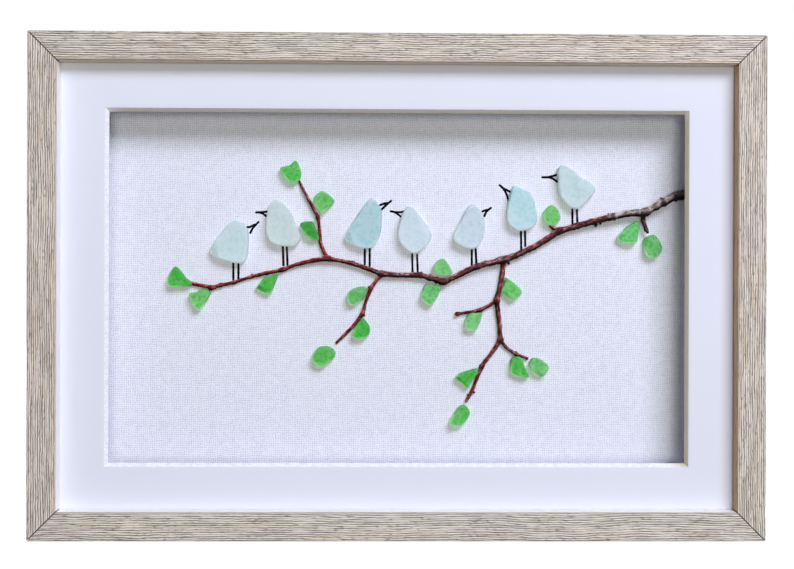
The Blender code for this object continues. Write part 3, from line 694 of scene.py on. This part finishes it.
# Every stem and bud is a lumpy rod laid just clear of the canvas: radius(s, a) = half the thickness, with
# the swellings of nearby knots and clouds of bark lumps, drawn in like a ball at both ends. A stem waves off
# the canvas by a cloud, and stands off it further towards the right, by an eased ramp. The main stem's bark
# turns from red to plum and from there to grey by straight ramps; a side stem has one redness all along.
def makeTwig(style):
    parts, places = [], []
    own = {"knot": [], "under": [], "redness": [], "grey": []}
    stemNames, sides = list(style["stems"]), style["sides"]
    knots = np.array(style["knots"])
    lines = [(rows, style["kink"], 0.0, 0.0) for rows in style["stems"].values()]
    for across, up, direction, length, thick, dark in style["buds"]:
        aim = bearingArms(direction) * length
        rows = [(across + aim[0] * t, up + aim[1] * t, thick * width) for t, width in style["budShape"]]
        lines.append((rows, 0.0, dark, style["budProud"]))
    angle = np.linspace(0, 2 * math.pi, sides, endpoint=False)
    around = np.abs(angle / (2 * math.pi) * 12 - 6)[None, :]
    for number, (rows, kink, budDark, proud) in enumerate(lines):
        route, walked = smoothRoute(rows, style["step"], kink)
        across, up, thick = route.T
        away = np.hypot(across[:, None] - knots[:, 0], up[:, None] - knots[:, 1])
        swell = (knots[:, 2] * np.exp(-(away / knots[:, 3]) ** 2)).max(axis=1) * (0 if proud else 1)
        dark = (knots[:, 4] * np.exp(-(away / (knots[:, 3] * 0.6)) ** 2)).max(axis=1)
        dark = np.maximum(dark * (0.3 if proud else 0.85), budDark)
        radius = (thick + 1.1 * swell) / 2
        flat = 0 * walked[:, None]
        lumps = cloudValues(walked[:, None] / style["lumpLength"], around + flat, 40 + number)
        fine = cloudValues(walked[:, None] / style["fineLength"], around * 1.8 + flat, 90 + number)
        full = radius[:, None] * (style["leanest"] + style["lumps"] * lumps + style["fineBark"] * fine)
        full = full * roundedEnds(walked, radius)[:, None]
        bend = cloudValues(walked / 28, walked * 0 + 0.5, 80 + number)
        fade = np.clip(walked / 12, 0, 1) * np.clip((walked[-1] - walked) / 8, 0, 1)
        y = layout["canvasFace"] - style["gapToCanvas"] - radius * 1.1 - style["lift"] * bend * fade - proud
        y = y - style["rise"] * eased(ramp(across, style["riseFrom"], style["riseTo"]))
        centre = toWorld(across, up, y)
        parts.append(sweepStem(centre, full * mm))
        outward = parts[-1][0][:-2].reshape(len(centre), sides, 3) - centre[:, None, :]
        outward /= np.linalg.norm(outward, axis=2, keepdims=True)
        # painted shade: how far each point faces the lower left, away from the lamp
        low = outward[:, :, 0] * style["underTowards"][0] + outward[:, :, 2] * style["underTowards"][1]
        low = np.clip((low + 0.3) / 0.7, 0, 1)
        red = ramp(across, style["plumTo"], style["plumFrom"], style["leastRed"])
        old = ramp(across, style["greyFrom"], style["greyTo"])
        stem = stemNames[number] if number < len(stemNames) else "main"
        if stem != "main":
            red, old = 0 * red + style["redness"][stem], 0 * old
        for key, ring in zip(own, (dark[:, None], low, red[:, None], old[:, None])):
            own[key] += [(ring + 0 * low).ravel(), ring.mean(axis=1)[[0, -1]]]
        start = 400.0 * number                              # so that no two stems share a stretch of bark
        rod = [walked[:, None] + start + 0 * full, full * np.cos(angle), full * np.sin(angle)]
        tips = np.array([[walked[0] + start, 0, 0], [walked[-1] + start, 0, 0]])
        places += [np.stack(rod, axis=-1).reshape(-1, 3) * mm, tips * mm]
    points, faces = joinParts(parts)
    values = {key: np.concatenate(lists) for key, lists in own.items()}
    values["barkPlace"] = np.concatenate(places)
    makePiece("buddedTwig", points, faces, twigBark(style), ["twig"], values, 70)


makeTwig(twigStyle)
print("made the twig with its knots and buds")


glassStyle = {
    "turns": 144, "rings": 22, "edgeRound": 0.7, "backRound": 0.9, "tilt": 0.055, "toCanvas": 0.28,
    "wear": 0.25, "ripple": 0.3, "rippleLength": 5.0,
    "cornerPull": {"bird": 0.08, "leaf": 0.22}, "grow": 0.1, "growTowards": 0.3, "crownReach": 7.0,
    # painted light: the glow colours are painted along the edges on the glowTowards side and as a pale rim
    # all round, and also tint pale specks
    "aquaGlow": (0.87, 0.97, 0.965), "greenGlow": (0.62, 0.93, 0.58), "glowTowards": (-0.55, -0.83),
    "unevenTint": 0.06,
    # tints of the glass, and which piece has which
    "tints": {
        "ice": (0.82, 0.93, 0.95), "aqua": (0.76, 0.90, 0.88), "mist": (0.75, 0.845, 0.80),
        "lagoon": (0.64, 0.87, 0.87), "deep": (0.007, 0.48, 0.003), "bottle": (0.062, 0.635, 0.048),
        "emerald": (0.028, 0.57, 0.025), "leaf": (0.115, 0.66, 0.095), "spring": (0.19, 0.73, 0.15),
        "sea": (0.165, 0.68, 0.17), "pale": (0.235, 0.69, 0.225),
    },
    "pieces": {
        "ice": ("bird_4", "bird_5"), "aqua": ("bird_1", "bird_7"), "mist": ("bird_2",),
        "lagoon": ("bird_3", "bird_6"), "deep": ("leaf_6",), "emerald": ("leaf_8",),
        "bottle": ("leaf_1", "leaf_3", "leaf_14", "leaf_16"), "leaf": ("leaf_4", "leaf_9", "leaf_15"),
        "sea": ("leaf_7", "leaf_11", "leaf_19", "leaf_20"), "pale": ("leaf_10", "leaf_13", "leaf_17"),
        "spring": ("leaf_2", "leaf_5", "leaf_12", "leaf_18"),
    },
    "crowns": {"bird_2": 1.2, "bird_3": 0.8, "bird_4": 0.2, "bird_5": 0.9},     # heads drawn up a little
    # places where the outline stands further out: direction in degrees, how far, over how wide an angle
    "bulges": {
        "bird_2": [(60, 1.0, 25)], "bird_6": [(62, 1.9, 28), (95, 0.8, 20)],
        "bird_7": [(100, 1.1, 30), (10, 0.9, 22)],
        "leaf_1": [(343, 2.4, 15)], "leaf_2": [(62, 1.9, 30)], "leaf_3": [(130, 1.5, 42)],
        "leaf_6": [(322, 1.4, 24)],
        "leaf_7": [(0, 0.8, 30)], "leaf_8": [(150, 2.1, 46), (110, 1.4, 16)], "leaf_11": [(110, 1.3, 44)],
        "leaf_12": [(195, 1.1, 44), (135, 0.8, 22)], "leaf_13": [(110, 1.4, 44)], "leaf_14": [(30, 2.4, 20)],
        "leaf_15": [(85, 1.3, 34)], "leaf_16": [(80, 1.4, 38)], "leaf_17": [(165, 0.8, 24)],
        "leaf_19": [(120, 0.5, 40)], "leaf_20": [(128, 1.6, 28)],
    },
    # flat worn cuts across the front face: direction in degrees, where it starts from the middle
    # as a share of the reach that way, and how steeply it falls
    "cuts": {
        "bird_7": [(35, 0.55, 0.55)], "bird_4": [(20, 0.6, 0.5)], "bird_1": [(200, 0.7, 0.5)],
        "bird_3": [(200, 0.7, 0.45)], "leaf_12": [(225, 0.6, 0.8)], "leaf_16": [(240, 0.6, 0.8)],
        "leaf_17": [(250, 0.6, 0.7)], "leaf_19": [(20, 0.5, 0.6), (230, 0.7, 0.6)],
        "leaf_20": [(160, 0.5, 0.6)], "leaf_3": [(230, 0.5, 0.7)], "leaf_14": [(230, 0.5, 0.7)],
    },
}


def seaGlass(name, glow):
    material, place = startMaterial(name)
    frost = cloud(place, 4200, 2, 0.6)
    pits = cloud(place, 1500, 3, 0.6)
    milk = cloud(place, 210, 3, 0.55, 0.5)
    veil = cloud(place, 520, 3)
    tint = ownValue(place, "glassTint", "Vector")
    deep = tinted(1.0, tint, tint, "MULTIPLY")
    colour = layered(tint, (milk, 0.42, 0.66, 0.5, ownValue(place, "paleTint", "Vector")))
    colour = tinted(spread(veil, 0.36, 0.54, 0.62, 0.0), colour, deep)
    colour = layered(colour, (pits, 0.60, 0.72, 0.2, glow))
    # painted light and shade along the edges: a pale rim all round as painted highlight, painted shade along
    # the edges facing the lamp, and painted glow along the edges turned from it
    for key, strength, tone in (("rim", 0.17, glow), ("rimDark", 0.75, deep), ("rimGlow", 0.95, glow)):
        colour = tinted(times(ownValue(place, key), strength), colour, tone)
    more = {
        # the painted glow also emits light along those edges, though the glass is no lamp
        "Emission Color": glow, "Emission Strength": times(ownValue(place, "rimGlow"), 0.2),
        "Transmission Weight": 0.3, "IOR": 1.45, "Subsurface Weight": 0.7,
        "Subsurface Radius": (1.0, 1.0, 1.0), "Subsurface Scale": 0.004,
    }
    height = calc("ADD", times(frost, 0.35), pits)
    return endMaterial(material, colour, spread(pits, 0.3, 0.7, 0.46, 0.62), height, 0.00006, more)


# The outline of a packed glass node: its points at half thickness, in order of their angle about its pole,
# read again at even turns on a smooth closed line through them.
def nodeOutline(node, turns):
    data = nodes[node].data.vertices
    co = np.zeros(len(data) * 3, np.float32)
    data.foreach_get("co", co)
    co = co.reshape(-1, 3).astype(float) / mm
    low, high = co[:, 1].min(), co[:, 1].max()
    pole = co[co[:, 1].argmin()][[0, 2]]
    rim = np.unique(np.round(co[np.abs(co[:, 1] - (low + high) / 2) < 0.02][:, [0, 2]], 4), axis=0)
    angle = np.arctan2(rim[:, 1] - pole[1], rim[:, 0] - pole[0])
    rim = rim[np.argsort(angle)]
    t = np.linspace(0, len(rim), turns, endpoint=False)
    k = np.floor(t).astype(int)
    corners = (rim[(k + i) % len(rim)] for i in (-1, 0, 1, 2))
    return curveBetween(*corners, (t - k)[:, None]), pole, low, high


# A worn chip: point(r, k) = pole + r (outline(k) - pole), standing half(r, k) before and behind its middle,
# where half = half thickness * sqrt(1 - (1 - d/round)^2) within the rounded edge, d being the distance
# to the outline, less the ripples, the tilt and the flat cuts of its face. The outline is the solid's, with
# its harmonics above the first times 1 + corner pull, moved outwards by a little all round, by more on the
# side that carries the painted glow, and by bulges, each a bell of the bearing; a crown draws the top of a
# head up. Its points carry masks for the painted light and shade along its rim.
def makeGlass(node, number, material, slot, style):
    key = node.replace("glass_", "")
    kind, count = key.split("_")
    glowing = np.array(style["glowTowards"])
    line, pole, low, high = nodeOutline(node, style["turns"])
    high += style["toCanvas"]
    harmonics = np.fft.fft(line[:, 0] + 1j * line[:, 1])
    harmonics[np.abs(np.fft.fftfreq(len(line), 1 / len(line))) > 1.5] *= 1 + style["cornerPull"][kind]
    line = np.fft.ifft(harmonics)
    line = np.stack([line.real, line.imag], axis=1)
    arms = line - pole
    arms /= np.linalg.norm(arms, axis=1)[:, None]
    bearing = np.degrees(np.arctan2(arms[:, 1], arms[:, 0]))
    out = style["grow"] + style["growTowards"] * np.clip(arms @ glowing, 0, 1)
    for direction, push, width in style["bulges"].get(key, ()):
        off = (bearing - direction + 180) % 360 - 180
        out = out + push * np.exp(-(off / width) ** 2)
    line = line + arms * out[:, None]
    near = np.clip((line[:, 1] - line[:, 1].max()) / style["crownReach"] + 1, 0, 1)
    line[:, 1] += style["crowns"].get(key, 0) * eased(near)
    arms = line - pole
    reach = np.linalg.norm(arms, axis=1)
    step = np.linspace(0, 1, style["rings"] + 1)[1:]
    share = 1 - (1 - step) ** 1.9
    edge = (1 - share)[:, None] * reach[None, :]
    flat = pole + share[:, None, None] * arms[None, :, :]
    half = (high - low) / 2
    roundness = 0.8 + 0.5 * cloudValues(np.arange(len(reach)) / 9, np.zeros(len(reach)), 100 + number)
    rise = np.sqrt(1 - np.clip(1 - edge / (style["edgeRound"] * roundness[None, :]), 0, 1) ** 2)
    across, up = flat[:, :, 0] - pole[0], flat[:, :, 1] - pole[1]
    lean = np.random.default_rng(200 + number).uniform(-1, 1, 2) * style["tilt"]
    length = style["rippleLength"]
    ripples = style["ripple"] * (cloudValues(across / length + 31, up / length + 17, 300 + number) - 0.3)
    loss = style["wear"] + ripples + (across * lean[0] + up * lean[1])
    for direction, start, slope in style["cuts"].get(key, ()):
        aim = bearingArms(direction)
        past = across * aim[0] + up * aim[1] - start * (arms @ aim).max()
        loss = np.maximum(loss, loss * 0.5 + slope * (np.sqrt(past ** 2 + 0.25) + past) / 2)
    loss = np.clip(loss, 0.02, half * 0.85)
    frontY = (low + half) - half * rise + loss * rise
    backY = (low + half) + half * np.sqrt(1 - np.clip(1 - edge / style["backRound"], 0, 1) ** 2)

    def frontThenBack(front, back):
        return np.concatenate([front, back[-2::-1]])

    rings = frontThenBack(*(np.stack([flat[:, :, 0], y, flat[:, :, 1]], axis=-1) for y in (frontY, backY)))
    poles = np.array([[pole[0], frontY[0].mean(), pole[1]], [pole[0], high, pole[1]]])
    points = np.concatenate([rings.reshape(-1, 3), poles]) * mm
    # masks of painted light and shade: glow on the lower-left edges, dark on the edges facing the lamp, a
    # pale rim all round
    towards = arms @ glowing / reach
    glow = frontThenBack(np.exp(-(edge / 0.7) ** 2), np.exp(-edge / 3)) * np.clip(towards, 0, 1) ** 0.7
    dark = frontThenBack(np.exp(-(edge / 0.5) ** 2), 0 * edge) * np.clip(-towards, 0, 1)
    rim = frontThenBack(np.exp(-edge / 0.8), np.exp(-edge / 0.8))
    values = {"rim": rim, "rimGlow": glow, "rimDark": dark}
    values = {name: np.append(ring, [0, 0]) for name, ring in values.items()}
    tint = next(style["tints"][family] for family, members in style["pieces"].items() if key in members)
    tint = np.array(tint) * (1 + style["unevenTint"] * np.random.default_rng(500 + number).uniform(-1, 1))
    values["glassTint"] = np.tile(tint, (len(points), 1))
    values["paleTint"] = np.tile(tint ** 0.5, (len(points), 1))
    name = "seaGlass" + kind.capitalize() + count
    makePiece(name, points, skinFaces(*rings.shape[:2]), material, [node], values, 60)


glasses = {
    "bird": (seaGlass("frosted aqua glass", glassStyle["aquaGlow"]), "aqua_glass"),
    "leaf": (seaGlass("frosted green glass", glassStyle["greenGlow"]), "green_glass"),
}
for number, node in enumerate(sorted(name for name in nodes if name.startswith("glass_"))):
    makeGlass(node, number, *glasses[node.split("_")[1]], glassStyle)
print("made the glass birds and leaves")


inkStyle = {
    "width": 1.3, "thick": 0.05, "runOn": 0.8, "step": 0.35, "sides": 12, "colour": (0.002, 0.002, 0.003),
    # each beak is two strokes that run together before the tip; across and up from the window's middle
    "beaks": [
        [(-86.1, 34.6), (-84.8, 34.7), (-83.5, 35.4), (-81.9, 36)],
        [(-84.4, 31.5), (-83.6, 33.1), (-82.8, 34.4), (-81.6, 35.8), (-79.9, 37.5)],
        [(-74.8, 43.6), (-78.2, 43.2), (-81, 43.1)], [(-75.5, 41.1), (-76.7, 42), (-77.9, 42.6), (-79.5, 43)],
        [(-9.8, 47.7), (-8.6, 48.1), (-6.7, 48.7), (-5.3, 48.9)],
        [(-8.9, 45.3), (-7.4, 46.8), (-5.9, 48.2), (-3.9, 49.9)],
        [(4, 44.2), (2.4, 43.7), (-0.1, 43.6), (-2.4, 43.8), (-3.7, 44.1)],
        [(2.1, 40.9), (0.5, 42.2), (-1.2, 43.3), (-2.6, 43.9)],
        [(49.1, 44.3), (50.4, 44.8), (52, 45.2)],
        [(50.2, 41.7), (50.4, 42.4), (51, 43.7), (52.1, 45), (53.7, 46.2)],
        [(65.1, 55.5), (63.9, 56.1), (62.1, 57.1), (60.7, 57.8), (59, 59.3)],
        [(63.9, 50.8), (62.8, 54.2), (61.8, 56.1), (60.7, 57.7)],
        [(91.6, 65.5), (89.3, 64.8), (87, 64.2), (85.4, 64.1), (83.6, 64.1)],
        [(91.9, 61.6), (89.8, 63.1), (87.8, 63.9), (86.1, 64.1)],
    ],
    "legs": [
        [(-94.2, 14.8), (-94.1, 3.7)], [(-91.2, 14.6), (-91.2, 4.3)], [(-65.8, 24), (-65.4, 12.2)],
        [(-63.5, 24), (-63.1, 12.2)], [(-18.7, 23), (-18.7, 12.8)], [(-15.9, 23.4), (-15.9, 12)],
        [(8.5, 20.1), (8.8, 8.7)], [(11.3, 19.7), (11.8, 8.7)], [(42.9, 22.6), (42.9, 11.8)],
        [(45.1, 23.2), (45.6, 12.6)], [(71.2, 33.2), (71.4, 22)], [(73.5, 33.5), (73.7, 23.7)],
        [(100.8, 46.3), (101, 36.1)], [(103.4, 46.5), (103.8, 37)],
    ],
}


def blackInk(style):
    material, place = startMaterial("black ink")
    worn = cloud(place, 900, 3, 0.6)
    colour = layered(style["colour"], (worn, 0.5, 0.8, 0.6, (0.012, 0.012, 0.014)))
    roughness = spread(worn, 0.3, 0.7, 0.7, 0.85)
    return endMaterial(material, colour, roughness, worn, 0.00004, {"Specular IOR Level": 0.06})


# A pen stroke is a flat oval section carried along its line, a little uneven in width.
def makeInk(style):
    parts = []
    for number, rows in enumerate(style["legs"] + style["beaks"]):
        rows = np.array(rows, float)
        if number >= len(style["legs"]):
            for end, inner in ((0, 1), (-1, -2)):
                aim = rows[end] - rows[inner]
                rows[end] += aim / np.linalg.norm(aim) * style["runOn"]
        route, walked = smoothRoute(rows, style["step"])
        uneven = 0.85 + 0.3 * cloudValues(walked / 1.6, walked * 0 + 0.5, 400 + number)
        half = style["width"] / 2 * uneven * roundedEnds(walked, style["width"] / 2 + 0 * walked)
        centre = toWorld(route[:, 0], route[:, 1], 0 * walked + layout["canvasFace"] - 0.01)
        radius = np.repeat(half[:, None], style["sides"], axis=1) * mm
        parts.append(sweepStem(centre, radius, style["thick"] / style["width"] * 2))
    points, faces = joinParts(parts)
    makePiece("inkStrokes", points, faces, blackInk(style), (), None, 60)


makeInk(inkStyle)
print("drew the ink beaks and legs")


studio = {
    "floor": (0.75, 0.75, 0.75), "floorGlow": (0.80, 1.0), "floorHalf": 60.0, "floorDrop": 0.0002,
    "keyTowards": (0.81, -1.6, 1.33), "keyAway": 2.25, "keySize": (1.3, 0.9), "keyPower": 50.0,
    "frontTowards": (0.05, -1.0, 0.0), "frontAway": 2.4, "frontSize": (0.7, 0.6), "frontPower": 16.0,
    "rearTowards": (-0.8, 1.0, 0.9), "rearAway": 1.9, "rearSize": (1.2, 0.8), "rearPower": 30.0,
    "keyColour": (0.76, 0.80, 1.0), "frontColour": (1.0, 0.985, 0.96), "rearColour": (1, 1, 1),
    "fillStrong": 0.18, "fillWeak": 0.06, "fillFrom": (0.1, 0.0, -0.95), "fillColour": (1.0, 0.985, 0.96),
    "eye": (-0.01053, -0.6496, 0.1414), "eyeRight": (1.0, -0.0155, 0.0035),
    "eyeForward": (0.0155, 1.0, -0.0007), "lens": 1144.16 / 794 * 36,
}


# A flat square that glows white to the camera and takes only faint contact shadows; it lights nothing.
def makeFloor(style):
    material, place = startMaterial("pale floor")
    paler = tuple(value * 0.97 for value in style["floor"])
    colour = layered(style["floor"], (cloud(place, 30, 3), 0.3, 0.7, 1.0, paler))
    away = addNode("ShaderNodeVectorMath", {0: place}, operation="LENGTH")["Value"]
    strength = spread(away, 0.5, 2.5, *style["floorGlow"])
    endMaterial(material, colour, 0.8, None, 0, {"Emission Strength": strength, "Emission Color": (1, 1, 1)})
    half, z = style["floorHalf"], -style["floorDrop"]
    mesh = bpy.data.meshes.new("paleFloor")
    corners = [(-half, -half, z), (half, -half, z), (half, half, z), (-half, half, z)]
    mesh.from_pydata(corners, [], [(0, 1, 2, 3)])
    mesh.materials.append(material)
    floor = bpy.data.objects.new("paleFloor", mesh)
    bpy.context.scene.collection.objects.link(floor)
    floor.visible_diffuse = floor.visible_glossy = floor.visible_transmission = floor.visible_shadow = False


def setLooking(item, place, right, forward):
    above = np.cross(right, forward)
    turn = Matrix((right, above, -forward)).transposed().to_4x4()
    item.matrix_world = Matrix.Translation(place) @ turn
    bpy.context.scene.collection.objects.link(item)


# A soft panel that looks at the picture's middle from one direction.
def makePanel(name, towards, away, size, power, colour):
    light = bpy.data.lights.new(name, "AREA")
    light.shape = "RECTANGLE"
    light.size, light.size_y = size
    light.energy = power
    light.color = colour
    lamp = bpy.data.objects.new(name, light)
    lamp.visible_camera = False
    direction = np.array(towards) / np.linalg.norm(towards)
    right = np.cross(-direction, (0, 0, 1))
    right /= np.linalg.norm(right)
    setLooking(lamp, direction * away + np.array([0, 0, layout["windowMiddle"][1] * mm]), right, -direction)


# The world is a soft fill, stronger from below and the right, and white behind the picture.
def makeWorld(style):
    world = bpy.data.worlds.new("soft white room")
    world.use_nodes = True
    tree = world.node_tree
    tree.nodes.clear()
    way = tree.nodes.new("ShaderNodeTexCoord").outputs["Generated"]
    towards = addNode("ShaderNodeVectorMath", {0: way, 1: style["fillFrom"]}, operation="DOT_PRODUCT")
    strength = spread(towards["Value"], -0.4, 0.4, style["fillWeak"], style["fillStrong"])
    fill = addNode("ShaderNodeBackground", {"Color": style["fillColour"], "Strength": strength})[0]
    white = tree.nodes.new("ShaderNodeBackground")
    feed(white.inputs["Color"], (1, 1, 1))
    toCamera = tree.nodes.new("ShaderNodeLightPath").outputs["Is Camera Ray"]
    chosen = addNode("ShaderNodeMixShader", {0: toCamera, 1: fill, 2: white.outputs[0]})[0]
    addNode("ShaderNodeOutputWorld", {0: chosen})
    bpy.context.scene.world = world


def makeCamera(style):
    data = bpy.data.cameras.new("photo view")
    data.sensor_fit = "HORIZONTAL"
    data.sensor_width = 36.0
    data.lens = style["lens"]
    data.clip_start, data.clip_end = 0.01, 200
    camera = bpy.data.objects.new("photo view", data)
    right, forward = np.array(style["eyeRight"]), np.array(style["eyeForward"])
    right /= np.linalg.norm(right)
    forward -= right * (forward @ right)
    forward /= np.linalg.norm(forward)
    setLooking(camera, style["eye"], right, forward)
    bpy.context.scene.camera = camera


makeFloor(studio)
panelParts = ("Towards", "Away", "Size", "Power", "Colour")
for panel in ("key", "front", "rear"):
    makePanel("soft " + panel, *(studio[panel + part] for part in panelParts))
makeWorld(studio)
makeCamera(studio)
bpy.context.scene.view_settings.view_transform = "Standard"
print("set the floor, the light and the camera")
